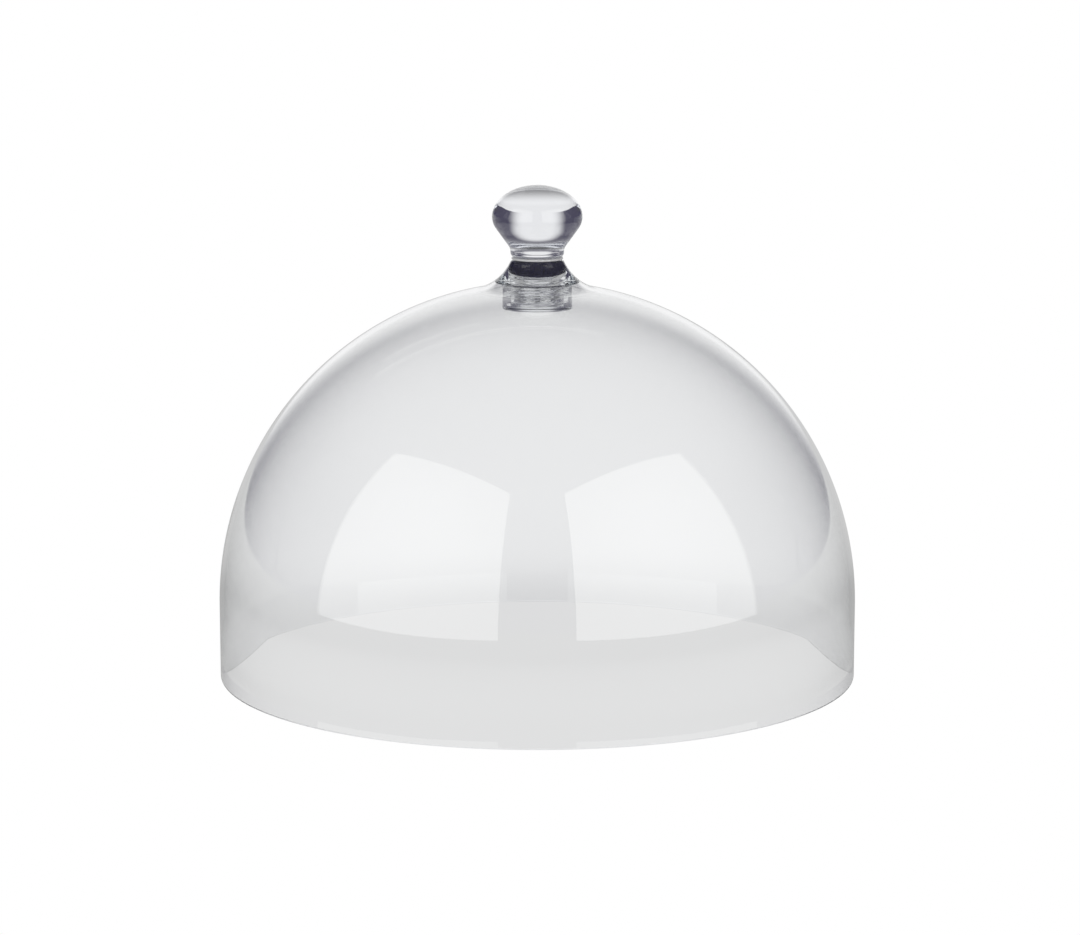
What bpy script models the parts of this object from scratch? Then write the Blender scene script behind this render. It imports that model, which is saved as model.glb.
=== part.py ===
"""Cake stand dome: a clear moulded bell, a screw-in knob with a dark sleeve, and the knob's soft washer.

Run with: blender --background --python part.py
Metres, +Z up. The origin is the centre of the plane that the rim stands on, and Z is the bell's axis.
"""

import math

import bmesh
import bpy
from mathutils import Matrix, Vector

# Bell: a hemisphere on a short straight skirt
BELL_RADIUS = 0.1524
WALL = 0.0025
SKIRT_HEIGHT = 0.035
RIM_ROUND = 0.0006

# Boss: the thick flared neck, moulded in one with the bell, that holds the threaded socket
BOSS_TOP = 0.1987
BOSS_RADIUS = 0.0123
BOSS_EDGE = 0.0005
FLARE_RADIUS = 0.0244
INNER_BOSS_RADIUS = 0.0165
INNER_BOSS_BOTTOM = 0.1748
INNER_BOSS_ROUND = 0.0008
INNER_FILLET = 0.0015
SOCKET_FLOOR = 0.1768
SOCKET_LEDGE = 0.1884
MOUTH_CHAMFER = 0.0003

# Right-hand thread between the knob's spigot and the socket
PITCH = 0.0045
THREAD_START = 0.1793
THREAD_START_ANGLE = 1.9
RIDGE_TURNS = 1.85
GROOVE_TURNS = 2.6
SPIGOT_ROOT = 0.0076
SPIGOT_CREST = 0.0091
ROOT_HALF_WIDTH = 0.0013
CREST_HALF_WIDTH = 0.0006
RIDGE_SINK = 0.0005
CLEARANCE = 0.0003
FLANK_CLEARANCE = 0.00035
GROOVE_LEAD_TURNS = 0.1

# Washer between the boss and the knob's collar
WASHER_THICKNESS = 0.0010
WASHER_INNER = 0.0096
WASHER_OUTER = 0.0122
WASHER_EDGE = 0.0002

# Knob: an elliptic cap, a round at the equator, a cone and a short collar above the spigot
KNOB_TOP = 0.2340
KNOB_RADIUS = 0.02135
EQUATOR_HEIGHT = 0.2192
EQUATOR_ROUND = 0.0095
CONE_ANGLE = 36.0
COLLAR_RADIUS = 0.0127
COLLAR_FILLET = 0.0045
COLLAR_ROUND = 0.0018
SHANK_RADIUS = 0.00925
SHANK_BOTTOM = 0.1887
SHANK_GROOVE_RADIUS = 0.00795
SPIGOT_END = 0.1774
SPIGOT_CHAMFER = 0.0008

# Sleeve: a soft dark band stretched over the shank, which steadies it in the neck's mouth
SLEEVE_BOTTOM = 0.1894
SLEEVE_TOP = 0.1984
SLEEVE_EDGE = 0.0002

BELL_SEGMENTS = 64
SPHERE_STEPS = 12
KNOB_SEGMENTS = 48
THREAD_STEPS_PER_TURN = 32
CAP_STEPS = 10
EQUATOR_STEPS = 4
FLARE_STEPS = 6
FILLET_STEPS = 4
ROUND_STEPS = 3
SHARP_ANGLE = 35.0
MERGE_DISTANCE = 1e-6

SPHERE_CENTRE = Vector((0.0, SKIRT_HEIGHT))
INNER_RADIUS = BELL_RADIUS - WALL
WASHER_BOTTOM = BOSS_TOP + CLEARANCE
KNOB_SEAT = WASHER_BOTTOM + WASHER_THICKNESS + CLEARANCE


def arc(centre, radius, start, end, steps):
    """Points (r, z) along an arc. Angles are in degrees from +R towards +Z."""
    points = []
    for i in range(steps + 1):
        angle = math.radians(start + (end - start) * i / steps)
        points.append((centre[0] + radius * math.cos(angle), centre[1] + radius * math.sin(angle)))
    return points


def angle_of(vector):
    return math.degrees(math.atan2(vector.y, vector.x))


def new_plastic(name, colour, roughness, ior, transmission):
    made = bpy.data.materials.new(name)
    made.use_nodes = True
    shader = made.node_tree.nodes["Principled BSDF"]
    shader.inputs["Base Color"].default_value = (*colour, 1.0)
    shader.inputs["Roughness"].default_value = roughness
    shader.inputs["Metallic"].default_value = 0.0
    shader.inputs["IOR"].default_value = ior
    shader.inputs["Transmission Weight"].default_value = transmission
    return made


def turned(profile, segments, closed=False):
    """Spins a profile of (r, z) points round Z. One that isn't closed starts and ends on the axis."""
    bm = bmesh.new()
    verts = [bm.verts.new((r, 0.0, z)) for r, z in profile]
    pairs = list(zip(verts, verts[1:]))
    if closed:
        pairs.append((verts[-1], verts[0]))
    edges = [bm.edges.new(pair) for pair in pairs]
    bmesh.ops.spin(
        bm,
        geom=verts + edges,
        cent=(0.0, 0.0, 0.0),
        axis=(0.0, 0.0, 1.0),
        angle=math.tau,
        steps=segments,
        use_merge=True,
    )
    bmesh.ops.remove_doubles(bm, verts=bm.verts[:], dist=MERGE_DISTANCE)
    return bm


def helical_ridge(root, crest, root_half, crest_half, first_turn, last_turn):
    """A closed ridge of trapezoid section that climbs one PITCH for each counter-clockwise turn."""
    section = [(root, -root_half), (crest, -crest_half), (crest, crest_half), (root, root_half)]
    height = THREAD_START + PITCH * first_turn
    turns = last_turn - first_turn
    steps = round(turns * THREAD_STEPS_PER_TURN)
    bm = bmesh.new()
    verts = [bm.verts.new((r, 0.0, height + z)) for r, z in section]
    face = bm.faces.new(verts)
    turn = Matrix.Rotation(math.radians(THREAD_START_ANGLE) + math.tau * first_turn, 3, "Z")
    bmesh.ops.rotate(bm, verts=verts, cent=(0.0, 0.0, 0.0), matrix=turn)
    bmesh.ops.spin(
        bm,
        geom=[*verts, *face.edges, face],
        cent=(0.0, 0.0, 0.0),
        axis=(0.0, 0.0, 1.0),
        dvec=(0.0, 0.0, PITCH * turns / steps),
        angle=math.tau * turns,
        steps=steps,
    )
    return bm


def place(name, bm, origin_height, made_of):
    """Makes an object of a bmesh drawn in world coordinates, its origin on the axis at origin_height."""
    bmesh.ops.recalc_face_normals(bm, faces=bm.faces[:])
    bmesh.ops.translate(bm, verts=bm.verts[:], vec=(0.0, 0.0, -origin_height))
    mesh = bpy.data.meshes.new(name)
    bm.to_mesh(mesh)
    bm.free()
    mesh.shade_smooth()
    mesh.set_sharp_from_angle(angle=math.radians(SHARP_ANGLE))
    if made_of:
        mesh.materials.append(made_of)
    made = bpy.data.objects.new(name, mesh)
    made.location = (0.0, 0.0, origin_height)
    bpy.context.scene.collection.objects.link(made)
    return made


def guide(name, bm, owner):
    """A solid that only cuts or joins: it stays in the file, out of every render."""
    made = place(name, bm, 0.0, None)
    made.parent = owner
    made.matrix_parent_inverse = owner.matrix_basis.inverted()
    made.hide_render = True
    made.display_type = "WIRE"
    return made


def combine(target, operation, other):
    modifier = target.modifiers.new(operation.title(), "BOOLEAN")
    modifier.operation = operation
    modifier.solver = "EXACT"
    modifier.object = other


def flare_centre():
    """Centre of the flare's arc, which starts at the boss's top corner and ends tangent to the bell."""
    corner = Vector((BOSS_RADIUS, BOSS_TOP)) - SPHERE_CENTRE
    reach = BELL_RADIUS + FLARE_RADIUS
    along = (corner.length_squared + reach**2 - FLARE_RADIUS**2) / (2 * corner.length)
    aside = math.sqrt(reach**2 - along**2)
    direction = corner.normalized()
    return SPHERE_CENTRE + direction * along + Vector((direction.y, -direction.x)) * aside


def socket_profile():
    """The socket before its thread is cut, from the floor's centre up to the boss's top face."""
    bore = SPIGOT_ROOT + CLEARANCE
    counterbore = SHANK_RADIUS + CLEARANCE
    return [
        (0.0, SOCKET_FLOOR),
        (bore, SOCKET_FLOOR),
        (bore, SOCKET_LEDGE),
        (counterbore, SOCKET_LEDGE),
        (counterbore, BOSS_TOP - MOUTH_CHAMFER),
        (counterbore + MOUTH_CHAMFER, BOSS_TOP),
    ]


def outer_profile():
    """The outside, from the boss's top edge down over the flare and the bell to the rim."""
    centre = flare_centre()
    towards_bell = SPHERE_CENTRE - centre
    corner = Vector((BOSS_RADIUS, BOSS_TOP)) - centre
    edge_angle = math.degrees(BOSS_EDGE / FLARE_RADIUS)
    flare_start = angle_of(corner) % 360 + edge_angle
    flare_end = angle_of(towards_bell) % 360
    points = [(BOSS_RADIUS - BOSS_EDGE, BOSS_TOP)]
    points += arc(centre, FLARE_RADIUS, flare_start, flare_end, FLARE_STEPS)
    points += arc(SPHERE_CENTRE, BELL_RADIUS, angle_of(-towards_bell), 0, SPHERE_STEPS)[1:]
    points += arc((BELL_RADIUS - RIM_ROUND, RIM_ROUND), RIM_ROUND, 0, -90, ROUND_STEPS)
    return points


def inner_profile():
    """The inside, from the rim up over the hollow, under the flare and down the inner boss to the axis."""
    centre = flare_centre()
    bell_end = angle_of(centre - SPHERE_CENTRE)
    fillet_r = INNER_BOSS_RADIUS + INNER_FILLET
    fillet_reach = FLARE_RADIUS + WALL + INNER_FILLET
    fillet_drop = math.sqrt(fillet_reach**2 - (centre.x - fillet_r) ** 2)
    fillet_centre = Vector((fillet_r, centre.y - fillet_drop))
    fillet_angle = angle_of(centre - fillet_centre)
    boss_edge = (INNER_BOSS_RADIUS - INNER_BOSS_ROUND, INNER_BOSS_BOTTOM + INNER_BOSS_ROUND)
    points = arc((INNER_RADIUS + RIM_ROUND, RIM_ROUND), RIM_ROUND, -90, -180, ROUND_STEPS)
    points += arc(SPHERE_CENTRE, INNER_RADIUS, 0, bell_end, SPHERE_STEPS)
    points += arc(centre, FLARE_RADIUS + WALL, bell_end + 180, fillet_angle + 180, FLARE_STEPS)[1:]
    points += arc(fillet_centre, INNER_FILLET, fillet_angle, 180, FILLET_STEPS)[1:]
    points += arc(boss_edge, INNER_BOSS_ROUND, 0, -90, ROUND_STEPS)
    points.append((0.0, INNER_BOSS_BOTTOM))
    return points


def knob_profile():
    """The knob without its thread, from the cap's top down to the spigot's end."""
    cap_height = KNOB_TOP - EQUATOR_HEIGHT
    slope = math.radians(CONE_ANGLE)
    equator = (KNOB_RADIUS - EQUATOR_ROUND, EQUATOR_HEIGHT)
    cone_top = arc(equator, EQUATOR_ROUND, 0, -CONE_ANGLE, EQUATOR_STEPS)
    neck_r = COLLAR_RADIUS + COLLAR_FILLET * (1 - math.cos(slope))
    neck_z = cone_top[-1][1] - (cone_top[-1][0] - neck_r) / math.tan(slope)
    fillet = (COLLAR_RADIUS + COLLAR_FILLET, neck_z - COLLAR_FILLET * math.sin(slope))
    collar_edge = (COLLAR_RADIUS - COLLAR_ROUND, KNOB_SEAT + COLLAR_ROUND)
    cap = arc((0, 0), 1, 90, 0, CAP_STEPS)
    points = [(r * KNOB_RADIUS, EQUATOR_HEIGHT + z * cap_height) for r, z in cap]
    points[0] = (0.0, KNOB_TOP)
    points += cone_top[1:]
    points += arc(fillet, COLLAR_FILLET, 180 - CONE_ANGLE, 180, FILLET_STEPS)
    points += arc(collar_edge, COLLAR_ROUND, 0, -90, ROUND_STEPS)
    points += [
        (SHANK_RADIUS, KNOB_SEAT),
        (SHANK_RADIUS, SLEEVE_TOP + CLEARANCE),
        (SHANK_GROOVE_RADIUS, SLEEVE_TOP + CLEARANCE),
        (SHANK_GROOVE_RADIUS, SLEEVE_BOTTOM - CLEARANCE),
        (SHANK_RADIUS, SLEEVE_BOTTOM - CLEARANCE),
        (SHANK_RADIUS, SHANK_BOTTOM),
        (SPIGOT_ROOT, SHANK_BOTTOM),
        (SPIGOT_ROOT, SPIGOT_END + SPIGOT_CHAMFER),
        (SPIGOT_ROOT - SPIGOT_CHAMFER, SPIGOT_END),
        (0.0, SPIGOT_END),
    ]
    return points


def make_dome_shell(plastic):
    profile = socket_profile() + outer_profile() + inner_profile()
    shell = place("dome_shell", turned(profile, BELL_SEGMENTS), 0.0, plastic)
    groove = helical_ridge(
        SPIGOT_ROOT - RIDGE_SINK + CLEARANCE,
        SPIGOT_CREST + CLEARANCE,
        ROOT_HALF_WIDTH + FLANK_CLEARANCE,
        CREST_HALF_WIDTH + FLANK_CLEARANCE,
        -GROOVE_LEAD_TURNS,
        GROOVE_TURNS,
    )
    combine(shell, "DIFFERENCE", guide("socket_groove", groove, shell))


def make_ring(name, inner, outer, bottom, top, edge, made_of):
    """A turned ring of rectangular section with its corners cut by edge."""
    profile = [
        (inner + edge, top),
        (outer - edge, top),
        (outer, top - edge),
        (outer, bottom + edge),
        (outer - edge, bottom),
        (inner + edge, bottom),
        (inner, bottom + edge),
        (inner, top - edge),
    ]
    place(name, turned(profile, KNOB_SEGMENTS, closed=True), bottom, made_of)


def make_seat_washer(rubber):
    top = WASHER_BOTTOM + WASHER_THICKNESS
    make_ring("seat_washer", WASHER_INNER, WASHER_OUTER, WASHER_BOTTOM, top, WASHER_EDGE, rubber)


def make_shank_sleeve(rubber):
    inner = SHANK_GROOVE_RADIUS + CLEARANCE
    make_ring("shank_sleeve", inner, SHANK_RADIUS, SLEEVE_BOTTOM, SLEEVE_TOP, SLEEVE_EDGE, rubber)


def make_knob(plastic):
    knob = place("knob", turned(knob_profile(), KNOB_SEGMENTS), KNOB_SEAT, plastic)
    ridge = helical_ridge(
        SPIGOT_ROOT - RIDGE_SINK,
        SPIGOT_CREST,
        ROOT_HALF_WIDTH,
        CREST_HALF_WIDTH,
        0.0,
        RIDGE_TURNS,
    )
    combine(knob, "UNION", guide("spigot_ridge", ridge, knob))


def main():
    for leftover in list(bpy.data.objects):
        bpy.data.objects.remove(leftover)
    make_dome_shell(new_plastic("clear_plastic", (0.93, 0.94, 0.95), 0.03, 1.58, 1.0))
    make_seat_washer(new_plastic("washer_silicone", (0.86, 0.87, 0.88), 0.35, 1.41, 0.6))
    make_knob(new_plastic("knob_plastic", (0.94, 0.95, 0.97), 0.02, 1.58, 1.0))
    make_shank_sleeve(new_plastic("sleeve_rubber", (0.026, 0.023, 0.065), 0.3, 1.45, 0.0))


main()
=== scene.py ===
import math

import bmesh
import bpy
from mathutils import Matrix, Vector


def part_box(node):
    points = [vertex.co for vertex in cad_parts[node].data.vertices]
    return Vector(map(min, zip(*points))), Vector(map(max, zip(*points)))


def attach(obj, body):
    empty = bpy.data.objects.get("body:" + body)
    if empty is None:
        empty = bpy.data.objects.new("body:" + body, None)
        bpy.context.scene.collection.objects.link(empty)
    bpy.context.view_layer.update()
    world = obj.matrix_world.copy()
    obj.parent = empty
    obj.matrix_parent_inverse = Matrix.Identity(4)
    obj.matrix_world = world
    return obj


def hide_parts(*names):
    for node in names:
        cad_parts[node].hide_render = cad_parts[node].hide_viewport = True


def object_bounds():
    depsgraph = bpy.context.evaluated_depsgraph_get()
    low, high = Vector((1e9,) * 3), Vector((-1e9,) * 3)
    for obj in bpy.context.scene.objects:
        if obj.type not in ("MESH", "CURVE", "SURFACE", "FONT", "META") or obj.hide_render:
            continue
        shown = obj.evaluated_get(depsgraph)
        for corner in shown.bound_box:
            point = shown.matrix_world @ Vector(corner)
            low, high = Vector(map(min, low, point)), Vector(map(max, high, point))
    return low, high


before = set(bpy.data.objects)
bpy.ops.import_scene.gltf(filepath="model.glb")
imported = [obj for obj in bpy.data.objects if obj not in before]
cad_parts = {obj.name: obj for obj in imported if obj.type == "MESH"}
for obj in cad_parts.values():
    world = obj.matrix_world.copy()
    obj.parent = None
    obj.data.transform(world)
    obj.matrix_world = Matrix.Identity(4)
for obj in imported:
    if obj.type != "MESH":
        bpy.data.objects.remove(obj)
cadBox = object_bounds()
shellLow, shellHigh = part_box("dome_shell")
knobLow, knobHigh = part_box("knob")
washerLow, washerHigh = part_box("seat_washer")
sleeveLow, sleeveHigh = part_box("shank_sleeve")

mergeGap = 1e-6
sharpAngle = 40.0


# outline tools: an outline is drawn point by point in the XZ plane, then turned round Z
def startAt(bm, r, z):
    return bm.verts.new((r, 0.0, z))


def lineTo(bm, vert, r, z):
    new = bmesh.ops.extrude_vert_indiv(bm, verts=[vert])["verts"][0]
    new.co = (r, 0.0, z)
    return new


def arcTo(bm, vert, centre, degrees, steps):
    # positive degrees run counter-clockwise with +X to the right and +Z up
    turned = bmesh.ops.spin(bm, geom=[vert], cent=(centre[0], 0.0, centre[1]), axis=(0.0, -1.0, 0.0),
                            angle=math.radians(degrees), steps=steps)
    return [g for g in turned["geom_last"] if isinstance(g, bmesh.types.BMVert)][0]


def turnRound(bm, segments):
    bmesh.ops.spin(bm, geom=bm.verts[:] + bm.edges[:], cent=(0.0, 0.0, 0.0), axis=(0.0, 0.0, 1.0),
                   angle=math.tau, steps=segments, use_merge=True)
    bmesh.ops.remove_doubles(bm, verts=bm.verts[:], dist=mergeGap)


def angleOf(vector):
    return math.degrees(math.atan2(vector.y, vector.x))


def openLoop(bm, z):
    # boundary edges lying in the plane at height z
    return [e for e in bm.edges if e.is_boundary and all(abs(v.co.z - z) < mergeGap for v in e.verts)]


def makePiece(name, bm, material):
    bmesh.ops.remove_doubles(bm, verts=bm.verts[:], dist=mergeGap)
    bmesh.ops.dissolve_degenerate(bm, dist=mergeGap / 10, edges=bm.edges[:])
    bmesh.ops.recalc_face_normals(bm, faces=bm.faces[:])
    gaps = sum(1 for e in bm.edges if not e.is_manifold)
    mesh = bpy.data.meshes.new(name)
    bm.to_mesh(mesh)
    bm.free()
    mesh.shade_smooth()
    mesh.set_sharp_from_angle(angle=math.radians(sharpAngle))
    mesh.materials.append(material)
    piece = bpy.data.objects.new(name, mesh)
    bpy.context.scene.collection.objects.link(piece)
    print(f"{name}: {len(mesh.polygons)} faces, {gaps} open edges")
    return piece


# right-hand thread, shared by the spigot and the socket
thread = {
    "pitch": 0.0045,
    "crestHeight": 0.179276,      # a crest's middle where it passes +X
    "rootRadius": 0.0076,
    "crestRadius": 0.0091,
    "rootHalf": 0.001125,
    "crestHalf": 0.0006,
    "clearance": 0.0003,
    "flankClearance": 0.00035,
    "softening": 0.00022,
    "stepsPerTurn": 128,
    "ledgeHeight": 0.1884,
    "floorHeight": 0.1768,
    "shankRadius": 0.00925,
    "shankBottom": 0.1887,
    "grooveRadius": 0.00795,      # waist of the shank that the sleeve sits on
}


def threadWall(bm, root, crest, rootHalf, crestHalf, low, high):
    # one pitch of outline climbs as it turns, then is cut flat at both ends
    pitch, steps = thread["pitch"], thread["stepsPerTurn"]
    turns = math.ceil((high - low) / pitch) + 3
    middle = thread["crestHeight"]
    while middle - pitch / 2 > low - pitch:
        middle -= pitch
    wall = bmesh.new()
    at = startAt(wall, root, middle - pitch / 2)
    for r, z in [(root, -rootHalf), (crest, -crestHalf), (crest, crestHalf), (root, rootHalf)]:
        at = lineTo(wall, at, r, middle + z)
    lineTo(wall, at, root, middle + pitch / 2)
    corners = [v for v in wall.verts if len(v.link_edges) == 2]
    bmesh.ops.bevel(wall, geom=corners, offset=thread["softening"], offset_type="OFFSET", segments=3,
                    profile=0.5, affect="VERTICES", material=-1)
    bmesh.ops.spin(wall, geom=wall.verts[:] + wall.edges[:], cent=(0.0, 0.0, 0.0), axis=(0.0, 0.0, 1.0),
                   dvec=(0.0, 0.0, pitch / steps), angle=math.tau * turns, steps=steps * turns)
    bmesh.ops.remove_doubles(wall, verts=wall.verts[:], dist=mergeGap)
    for height, clearBelow in ((low, True), (high, False)):
        bmesh.ops.bisect_plane(wall, geom=wall.verts[:] + wall.edges[:] + wall.faces[:], dist=mergeGap / 10,
                               plane_co=(0.0, 0.0, height), plane_no=(0.0, 0.0, 1.0),
                               clear_inner=clearBelow, clear_outer=not clearBelow)
        for v in wall.verts:
            if abs(v.co.z - height) < mergeGap:
                v.co.z = height
    joined = bpy.data.meshes.new("threadWall")
    wall.to_mesh(joined)
    wall.free()
    bm.from_mesh(joined)
    bpy.data.meshes.remove(joined)


# bell with its flared neck and threaded socket, moulded in one
shell = {
    "segments": 256,
    "ballSteps": 72,
    "flareSteps": 24,
    "filletSteps": 10,
    "roundSteps": 6,
    "wall": 0.0025,
    "skirtHeight": 0.035,
    "rimRound": 0.0006,
    "bossRadius": 0.0123,
    "bossEdge": 0.0005,
    "flareRadius": 0.0244,
    "innerBossRadius": 0.0165,
    "innerBossBottom": 0.1748,
    "innerBossRound": 0.0008,
    "innerFillet": 0.0015,
    "mouthChamfer": 0.0003,
}


def makeShell(material):
    s = shell
    radius, top = shellHigh.x, shellHigh.z
    inner = radius - s["wall"]
    ball = Vector((0.0, s["skirtHeight"]))
    counterbore = thread["shankRadius"] + thread["clearance"]

    # flare's arc: from the neck's top corner to where it runs into the ball
    corner = Vector((s["bossRadius"], top)) - ball
    reach = radius + s["flareRadius"]
    along = (corner.length_squared + reach ** 2 - s["flareRadius"] ** 2) / (2 * corner.length)
    aside = math.sqrt(reach ** 2 - along ** 2)
    flare = ball + corner.normalized() * along
    flare += Vector((corner.normalized().y, -corner.normalized().x)) * aside
    edgeTurn = math.degrees(s["bossEdge"] / s["flareRadius"])
    cornerAngle = angleOf(corner + ball - flare) % 360 + edgeTurn
    ballAngle = angleOf(ball - flare) % 360

    bm = bmesh.new()
    at = startAt(bm, counterbore, thread["ledgeHeight"])
    at = lineTo(bm, at, counterbore, top - s["mouthChamfer"])
    at = lineTo(bm, at, counterbore + s["mouthChamfer"], top)
    at = lineTo(bm, at, s["bossRadius"] - s["bossEdge"], top)
    start = flare + s["flareRadius"] * Vector((math.cos(math.radians(cornerAngle)),
                                               math.sin(math.radians(cornerAngle))))
    at = lineTo(bm, at, start.x, start.y)
    at = arcTo(bm, at, flare, ballAngle - cornerAngle, s["flareSteps"])
    at = arcTo(bm, at, ball, 180 - ballAngle, s["ballSteps"])
    at = lineTo(bm, at, radius, s["rimRound"])
    at = arcTo(bm, at, (radius - s["rimRound"], s["rimRound"]), -90, s["roundSteps"])
    at = lineTo(bm, at, inner + s["rimRound"], 0.0)
    at = arcTo(bm, at, (inner + s["rimRound"], s["rimRound"]), -90, s["roundSteps"])
    at = lineTo(bm, at, inner, ball.y)
    # the inside keeps the wall's thickness under the flare, then turns down the boss
    at = arcTo(bm, at, ball, ballAngle - 180, s["ballSteps"])
    filletR = s["innerBossRadius"] + s["innerFillet"]
    clear = s["flareRadius"] + s["wall"] + s["innerFillet"]
    fillet = Vector((filletR, flare.y - math.sqrt(clear ** 2 - (flare.x - filletR) ** 2)))
    filletAngle = angleOf(flare - fillet)
    at = arcTo(bm, at, flare, filletAngle + 180 - ballAngle, s["flareSteps"])
    at = arcTo(bm, at, fillet, 180 - filletAngle, s["filletSteps"])
    bottom, rounding = s["innerBossBottom"], s["innerBossRound"]
    at = lineTo(bm, at, s["innerBossRadius"], bottom + rounding)
    at = arcTo(bm, at, (s["innerBossRadius"] - rounding, bottom + rounding), -90, s["roundSteps"])
    lineTo(bm, at, 0.0, bottom)
    turnRound(bm, s["segments"])

    t = thread
    threadWall(bm, t["rootRadius"] + t["clearance"], t["crestRadius"] + t["clearance"],
               t["rootHalf"] + t["flankClearance"], t["crestHalf"] + t["flankClearance"],
               t["floorHeight"], t["ledgeHeight"])
    bmesh.ops.triangle_fill(bm, edges=openLoop(bm, t["ledgeHeight"]), use_beauty=True)
    bmesh.ops.triangle_fill(bm, edges=openLoop(bm, t["floorHeight"]), use_beauty=True)
    piece = makePiece("clearBell", bm, material)
    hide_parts("dome_shell")
    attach(piece, "dome")
    return piece


# knob: cap, equator, cone, collar, shank and threaded spigot, moulded in one
knob = {
    "segments": 128,
    "capSteps": 40,
    "equatorSteps": 16,
    "filletSteps": 10,
    "roundSteps": 6,
    "waistSteps": 4,
    "equatorHeight": 0.2192,
    "equatorRound": 0.0095,
    "coneAngle": 36.0,
    "collarRadius": 0.0127,
    "collarFillet": 0.0045,
    "collarRound": 0.0018,
    "waistRound": 0.0003,
    "spigotLead": 0.0068,
}


def makeKnob(material):
    k = knob
    radius, top = knobHigh.x, knobHigh.z
    seat = washerHigh.z + thread["clearance"]
    capHeight = top - k["equatorHeight"]
    slope = math.radians(k["coneAngle"])

    bm = bmesh.new()
    at = startAt(bm, 0.0, k["equatorHeight"] + radius)
    at = arcTo(bm, at, (0.0, k["equatorHeight"]), -90, k["capSteps"])
    bmesh.ops.translate(bm, verts=bm.verts[:], vec=(0.0, 0.0, -k["equatorHeight"]))
    bmesh.ops.scale(bm, verts=bm.verts[:], vec=(1.0, 1.0, capHeight / radius))
    bmesh.ops.translate(bm, verts=bm.verts[:], vec=(0.0, 0.0, k["equatorHeight"]))
    at = arcTo(bm, at, (radius - k["equatorRound"], k["equatorHeight"]), -k["coneAngle"], k["equatorSteps"])
    neckR = k["collarRadius"] + k["collarFillet"] * (1 - math.cos(slope))
    neckZ = at.co.z - (at.co.x - neckR) / math.tan(slope)
    filletZ = neckZ - k["collarFillet"] * math.sin(slope)
    at = lineTo(bm, at, neckR, neckZ)
    at = arcTo(bm, at, (k["collarRadius"] + k["collarFillet"], filletZ), k["coneAngle"], k["filletSteps"])
    collarZ = seat + k["collarRound"]
    at = lineTo(bm, at, k["collarRadius"], collarZ)
    at = arcTo(bm, at, (k["collarRadius"] - k["collarRound"], collarZ), -90, k["roundSteps"])
    shank, waist = thread["shankRadius"], thread["grooveRadius"]
    waistTop = sleeveHigh.z + thread["clearance"]
    waistBottom = sleeveLow.z - thread["clearance"]
    rounding = k["waistRound"]
    at = lineTo(bm, at, shank, seat)
    at = lineTo(bm, at, shank, waistTop + rounding)
    at = arcTo(bm, at, (shank - rounding, waistTop + rounding), -90, k["waistSteps"])
    at = lineTo(bm, at, waist, waistTop)
    at = lineTo(bm, at, waist, waistBottom)
    at = lineTo(bm, at, shank - rounding, waistBottom)
    at = arcTo(bm, at, (shank - rounding, waistBottom - rounding), -90, k["waistSteps"])
    lineTo(bm, at, shank, thread["shankBottom"])
    turnRound(bm, k["segments"])

    t = thread
    threadWall(bm, t["rootRadius"], t["crestRadius"], t["rootHalf"], t["crestHalf"],
               knobLow.z, t["shankBottom"])
    for v in bm.verts:
        # lead-in chamfer at the spigot's end
        limit = k["spigotLead"] + max(0.0, v.co.z - knobLow.z)
        if v.co.z < t["shankBottom"] and v.co.xy.length > limit:
            v.co.xy *= limit / v.co.xy.length
    bmesh.ops.triangle_fill(bm, edges=openLoop(bm, t["shankBottom"]), use_beauty=True)
    bmesh.ops.triangle_fill(bm, edges=openLoop(bm, knobLow.z), use_beauty=True)
    piece = makePiece("ballKnob", bm, material)
    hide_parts("knob")
    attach(piece, "knob")
    return piece


# washer and sleeve: two plain rings with rounded edges
ring = {"segments": 128, "edgeSteps": 5}


def makeRing(name, inner, outer, low, high, edge, material):
    steps = ring["edgeSteps"]
    bm = bmesh.new()
    at = startAt(bm, inner, low.z + edge)
    at = lineTo(bm, at, inner, high.z - edge)
    at = arcTo(bm, at, (inner + edge, high.z - edge), -90, steps)
    at = lineTo(bm, at, outer - edge, high.z)
    at = arcTo(bm, at, (outer - edge, high.z - edge), -90, steps)
    at = lineTo(bm, at, outer, low.z + edge)
    at = arcTo(bm, at, (outer - edge, low.z + edge), -90, steps)
    at = lineTo(bm, at, inner + edge, low.z)
    arcTo(bm, at, (inner + edge, low.z + edge), -90, steps)
    turnRound(bm, ring["segments"])
    return makePiece(name, bm, material)


washer = {"innerRadius": 0.0096, "edge": 0.0003}


def makeWasher(material):
    w = washer
    piece = makeRing("seatWasher", w["innerRadius"], washerHigh.x, washerLow, washerHigh, w["edge"], material)
    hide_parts("seat_washer")
    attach(piece, "washer")
    return piece


sleeve = {"edge": 0.0004, "pressFit": 0.00002}      # pushed lightly into the neck's mouth


def makeSleeve(material):
    v = sleeve
    inner = thread["grooveRadius"] + thread["clearance"]
    outer = thread["shankRadius"] + thread["clearance"] + v["pressFit"]
    piece = makeRing("shankSleeve", inner, outer, sleeveLow, sleeveHigh, v["edge"], material)
    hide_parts("shank_sleeve")
    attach(piece, "knob")
    return piece


# finishes
def newMaterial(name):
    material = bpy.data.materials.new(name)
    material.use_nodes = True
    tree = material.node_tree
    return material, tree, tree.nodes["Principled BSDF"]


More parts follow.
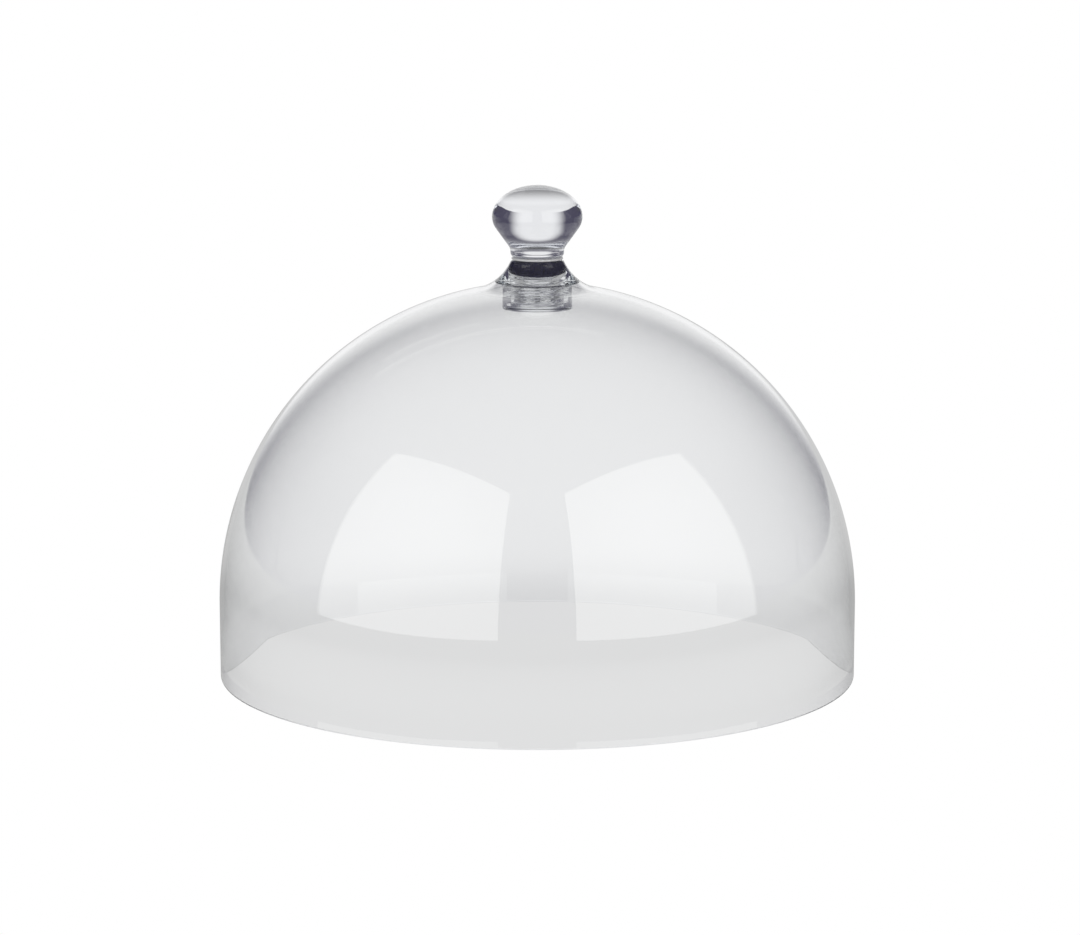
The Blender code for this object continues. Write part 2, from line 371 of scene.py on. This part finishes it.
def addWaviness(tree, shader, scale, depth, roughLow, roughHigh):
    # slow waviness of a moulded surface, and a polish that varies a little over it
    coords = tree.nodes.new("ShaderNodeTexCoord")
    waves = tree.nodes.new("ShaderNodeTexNoise")
    waves.inputs["Scale"].default_value = scale
    waves.inputs["Detail"].default_value = 2.0
    tree.links.new(coords.outputs["Object"], waves.inputs["Vector"])
    bump = tree.nodes.new("ShaderNodeBump")
    bump.inputs["Strength"].default_value = 1.0
    bump.inputs["Distance"].default_value = depth
    tree.links.new(waves.outputs["Fac"], bump.inputs["Height"])
    tree.links.new(bump.outputs["Normal"], shader.inputs["Normal"])
    polish = tree.nodes.new("ShaderNodeMapRange")
    polish.inputs["From Min"].default_value = 0.35      # the noise's usual span
    polish.inputs["From Max"].default_value = 0.7
    polish.inputs["To Min"].default_value = roughLow
    polish.inputs["To Max"].default_value = roughHigh
    tree.links.new(waves.outputs["Fac"], polish.inputs["Value"])
    tree.links.new(polish.outputs["Result"], shader.inputs["Roughness"])


def addTint(tree, colour, density):
    tint = tree.nodes.new("ShaderNodeVolumeAbsorption")
    tint.inputs["Color"].default_value = (*colour, 1.0)
    tint.inputs["Density"].default_value = density
    tree.links.new(tint.outputs["Volume"], tree.nodes["Material Output"].inputs["Volume"])


def newPlastic(name):
    material, tree, shader = newMaterial(name)
    shader.inputs["Base Color"].default_value = (0.985, 0.988, 0.99, 1.0)
    shader.inputs["IOR"].default_value = 1.58
    shader.inputs["Transmission Weight"].default_value = 1.0
    return material, tree, shader


def clearPlastic():
    material, tree, shader = newPlastic("clearPlastic")
    addWaviness(tree, shader, 14.0, 0.00004, 0.0, 0.012)
    addTint(tree, (0.80, 0.84, 0.86), 12.0)
    return material


def knobPlastic():
    material, tree, shader = newPlastic("knobPlastic")
    addWaviness(tree, shader, 60.0, 0.00002, 0.0, 0.01)
    addTint(tree, (0.80, 0.82, 0.88), 8.0)
    return material


def washerSilicone():
    material, tree, shader = newMaterial("washerSilicone")
    shader.inputs["Base Color"].default_value = (0.92, 0.92, 0.91, 1.0)
    shader.inputs["IOR"].default_value = 1.41
    shader.inputs["Transmission Weight"].default_value = 0.2
    addWaviness(tree, shader, 300.0, 0.00003, 0.18, 0.3)
    return material


def sleeveRubber():
    material, tree, shader = newMaterial("sleeveRubber")
    shader.inputs["IOR"].default_value = 1.45
    shader.inputs["Base Color"].default_value = (0.022, 0.019, 0.06, 1.0)
    addWaviness(tree, shader, 260.0, 0.00002, 0.22, 0.38)
    return material


clearBell = makeShell(clearPlastic())
ballKnob = makeKnob(knobPlastic())
seatWasher = makeWasher(washerSilicone())
shankSleeve = makeSleeve(sleeveRubber())
print("pieces made")

# studio: a white background, a pale glowing table whose glow paints a shadow under the bell, a pool of light,
# a sheen and reflections, two tall soft panels in front, two thin arched strips behind
studio = {
    "floorRadius": 14.0,
    "floorGap": 0.0002,
    "shadeUnderBell": 0.81,         # painted shadow: the floor's glow under the bell
    "midWhite": 0.96,          # painted pool of light: the floor's glow round it
    "farWhite": 0.92,          # floor and backdrop well behind, where the floor's painted pool of light fades out
    # radii of the painted shadow's edge and of the painted pool of light's fade
    "nearRadius": 0.14,
    "midRadius": 0.32,
    "fadeRadius": 1.1,
    "farRadius": 1.9,
    "steepDark": 0.3,          # painted sheen: the table's glow is drawn darker when seen from steeply above, through the plastic and to the eye
    "steepPale": 0.7,
    "shineSpan": (0.35, 0.8),  # spans of facing over which it gets there, in the plastic and to the eye
    "paleSpan": (0.0, 0.7),
    "glossNear": 0.44,         # painted reflection: the table's glow as the bell's reflections see it close by, to the sides, and straight behind
    "glossSide": 0.1,
    "glossBehind": 0.62,
    "glossSpan": (0.24, 0.4),  # distances over which close by ends
    "sideAngle": 82.0,         # from straight behind
    "behindAngle": 15.0,
    "spotHeight": 7.0,         # pool of light on the backdrop: height angle, inner and outer half angles
    "spotInner": 13.0,
    "spotOuter": 32.0,
    "dark": (0.075, 0.07, 0.11),
    "ceiling": 0.2,
    "ceilingSpan": (0.3, 0.8),
}
panels = {
    "distance": 0.8,
    "angle": 45.0,
    "width": 1.02,
    "bottom": 0.01,
    "top": 1.04,
    "edge": 1.08,
    "middle": 1.28,
    "fadeReach": 0.6,          # of the width
}
strips = {
    "thickness": 0.012,
    "strength": 1.15,
    "steps": 48,
    # how far behind, radius of its arch, where it starts and how far it runs, in degrees
    "stripLong": (0.75, 1.3, 75.0, 54.0),
    "stripShort": (0.9, 1.222, 103.0, 24.0),
}


def newShader(name):
    material = bpy.data.materials.new(name)
    material.use_nodes = True
    tree = material.node_tree
    tree.nodes.clear()
    output = tree.nodes.new("ShaderNodeOutputMaterial")
    glow = tree.nodes.new("ShaderNodeEmission")
    tree.links.new(glow.outputs["Emission"], output.inputs["Surface"])
    return material, tree, glow


def mapRange(tree, source, low, high, fromLow, toHigh):
    node = tree.nodes.new("ShaderNodeMapRange")
    node.interpolation_type = "SMOOTHSTEP"
    node.inputs["From Min"].default_value = low
    node.inputs["From Max"].default_value = high
    node.inputs["To Min"].default_value = fromLow
    node.inputs["To Max"].default_value = toHigh
    tree.links.new(source, node.inputs["Value"])
    return node.outputs["Result"]


def product(tree, first, second):
    node = tree.nodes.new("ShaderNodeMath")
    node.operation = "MULTIPLY"
    tree.links.new(first, node.inputs[0])
    tree.links.new(second, node.inputs[1])
    return node.outputs[0]


def mixValue(tree, factor, first, second):
    node = tree.nodes.new("ShaderNodeMix")
    for socket, value in ((node.inputs[0], factor), (node.inputs[2], first), (node.inputs[3], second)):
        if isinstance(value, float):
            socket.default_value = value
        else:
            tree.links.new(value, socket)
    return node.outputs[0]


def awayFactor(tree, direction, wide, narrow):
    # 1 straight behind the object, falling to 0 towards the sides
    flat = tree.nodes.new("ShaderNodeVectorMath")
    flat.operation = "MULTIPLY"
    flat.inputs[1].default_value = (1.0, 1.0, 0.0)
    tree.links.new(direction, flat.inputs[0])
    unit = tree.nodes.new("ShaderNodeVectorMath")
    unit.operation = "NORMALIZE"
    tree.links.new(flat.outputs["Vector"], unit.inputs[0])
    split = tree.nodes.new("ShaderNodeSeparateXYZ")
    tree.links.new(unit.outputs["Vector"], split.inputs["Vector"])
    return mapRange(tree, split.outputs["Y"], math.cos(math.radians(wide)),
                    math.cos(math.radians(narrow)), 0.0, 1.0)


def makeFloor():
    s = studio
    bm = bmesh.new()
    bmesh.ops.create_circle(bm, cap_ends=True, segments=128, radius=s["floorRadius"])
    bmesh.ops.translate(bm, verts=bm.verts[:], vec=(0.0, 0.0, cadBox[0].z - s["floorGap"]))
    # the table glows: its glow paints a shadow under the bell, a pool of light round it, a sheen and the
    # bell's reflections
    material, tree, glow = newShader("paintedLightFloor")
    coords = tree.nodes.new("ShaderNodeTexCoord")
    length = tree.nodes.new("ShaderNodeVectorMath")
    length.operation = "LENGTH"
    tree.links.new(coords.outputs["Object"], length.inputs[0])
    # painted shadow under the bell, rising to a painted pool of light round it that fades far off
    under = mapRange(tree, length.outputs["Value"], s["nearRadius"], s["midRadius"],
                     s["shadeUnderBell"], s["midWhite"])
    fade = mapRange(tree, length.outputs["Value"], s["fadeRadius"], s["farRadius"],
                    1.0, s["farWhite"] / s["midWhite"])
    pool = product(tree, under, fade)
    # painted reflection: rays that the bell has reflected see their own glow, brighter straight behind than
    # to the sides
    away = awayFactor(tree, coords.outputs["Object"], s["sideAngle"], s["behindAngle"])
    distant = mixValue(tree, away, s["glossSide"], s["glossBehind"])
    beyond = mapRange(tree, length.outputs["Value"], *s["glossSpan"], 0.0, 1.0)
    gloss = mixValue(tree, beyond, s["glossNear"], distant)
    path = tree.nodes.new("ShaderNodeLightPath")
    mirrored = tree.nodes.new("ShaderNodeMath")
    mirrored.operation = "GREATER_THAN"
    mirrored.inputs[1].default_value = 0.5
    tree.links.new(path.outputs["Glossy Depth"], mirrored.inputs[0])
    # painted sheen: the glow is darker where the table is seen from above
    facing = tree.nodes.new("ShaderNodeLayerWeight")
    facing.inputs["Blend"].default_value = 0.5
    paintedSheen = mapRange(tree, facing.outputs["Facing"], *s["shineSpan"], s["steepDark"], 1.0)
    seen = mixValue(tree, mirrored.outputs[0], product(tree, pool, paintedSheen), gloss)
    # to the eye the table glows with the same kind of painted sheen, darker from above
    plain = mapRange(tree, facing.outputs["Facing"], *s["paleSpan"], s["steepPale"], 1.0)
    bright = mixValue(tree, path.outputs["Is Camera Ray"], seen, plain)
    tree.links.new(bright, glow.inputs["Strength"])
    floor = makePiece("floor", bm, material)


def makePanel(side):
    p = panels
    bm = bmesh.new()
    bmesh.ops.create_grid(bm, x_segments=1, y_segments=1, size=0.5)
    bmesh.ops.scale(bm, verts=bm.verts[:], vec=(p["width"], p["top"] - p["bottom"], 1.0))
    material, tree, glow = newShader("panelGlow")
    coords = tree.nodes.new("ShaderNodeTexCoord")
    length = tree.nodes.new("ShaderNodeVectorMath")
    length.operation = "LENGTH"
    tree.links.new(coords.outputs["Object"], length.inputs[0])
    glowing = mapRange(tree, length.outputs["Value"], 0.0, p["width"] * p["fadeReach"],
                       p["middle"], p["edge"])
    tree.links.new(glowing, glow.inputs["Strength"])
    panel = makePiece("softPanel", bm, material)
    angle = math.radians(p["angle"]) * side
    panel.location = (math.sin(angle) * p["distance"], -math.cos(angle) * p["distance"],
                      (p["top"] + p["bottom"]) / 2)
    panel.rotation_euler = (math.radians(90), 0.0, angle)
    panel.visible_camera = False


def makeStrip(name):
    s = strips
    plane, radius, start, turn = s[name]
    bm = bmesh.new()
    half = s["thickness"] / 2
    first = bm.verts.new((radius, plane - half, 0.0))
    second = bm.verts.new((radius, plane + half, 0.0))
    bm.edges.new((first, second))
    bmesh.ops.rotate(bm, verts=bm.verts[:], cent=(0.0, 0.0, 0.0),
                     matrix=Matrix.Rotation(math.radians(-start), 3, "Y"))
    bmesh.ops.spin(bm, geom=bm.verts[:] + bm.edges[:], cent=(0.0, 0.0, 0.0), axis=(0.0, -1.0, 0.0),
                   angle=math.radians(turn), steps=s["steps"])
    material, tree, glow = newShader(name)
    glow.inputs["Strength"].default_value = s["strength"]
    strip = makePiece(name, bm, material)
    strip.visible_camera = False


def makeWorld():
    s = studio
    world = bpy.data.worlds.new("studio")
    bpy.context.scene.world = world
    world.use_nodes = True
    tree = world.node_tree
    coords = tree.nodes.new("ShaderNodeTexCoord")
    direction = coords.outputs["Generated"]
    split = tree.nodes.new("ShaderNodeSeparateXYZ")
    tree.links.new(direction, split.inputs["Vector"])
    above = mapRange(tree, split.outputs["Z"], *s["ceilingSpan"], 0.0, s["ceiling"])
    middle = math.radians(s["spotHeight"])
    towards = tree.nodes.new("ShaderNodeVectorMath")
    towards.operation = "DOT_PRODUCT"
    towards.inputs[1].default_value = (0.0, math.cos(middle), math.sin(middle))
    tree.links.new(direction, towards.inputs[0])
    spot = mapRange(tree, towards.outputs["Value"], math.cos(math.radians(s["spotOuter"])),
                    math.cos(math.radians(s["spotInner"])), 0.0, 1.0)
    level = mixValue(tree, spot, above, s["farWhite"])
    path = tree.nodes.new("ShaderNodeLightPath")
    bright = mixValue(tree, path.outputs["Is Camera Ray"], level, 1.0)
    tint = tree.nodes.new("ShaderNodeMix")
    tint.data_type = "RGBA"
    tree.links.new(bright, tint.inputs[0])
    tint.inputs[6].default_value = (*s["dark"], 1.0)
    tint.inputs[7].default_value = (1.0, 1.0, 1.0, 1.0)
    tree.links.new(tint.outputs[2], tree.nodes["Background"].inputs["Color"])


makeFloor()
makePanel(-1)
makePanel(1)
makeStrip("stripLong")
makeStrip("stripShort")
makeWorld()

camera = {"lens": 111.46, "distance": 1.6, "elevation": 10.14, "aimHeight": 0.0988, "aimAside": 0.0013}


def makeCamera():
    data = bpy.data.cameras.new("camera")
    data.lens = camera["lens"]
    data.sensor_width = 36.0
    eye = bpy.data.objects.new("camera", data)
    tilt = math.radians(camera["elevation"])
    eye.location = (camera["aimAside"], -camera["distance"] * math.cos(tilt),
                    camera["aimHeight"] + camera["distance"] * math.sin(tilt))
    eye.rotation_euler = (math.radians(90) - tilt, 0.0, 0.0)
    bpy.context.scene.collection.objects.link(eye)
    bpy.context.scene.camera = eye


makeCamera()
bpy.context.scene.view_settings.view_transform = "Standard"
bpy.context.scene.cycles.max_bounces = 32
bpy.context.scene.cycles.glossy_bounces = 24
bpy.context.scene.cycles.transmission_bounces = 32
print("studio ready")
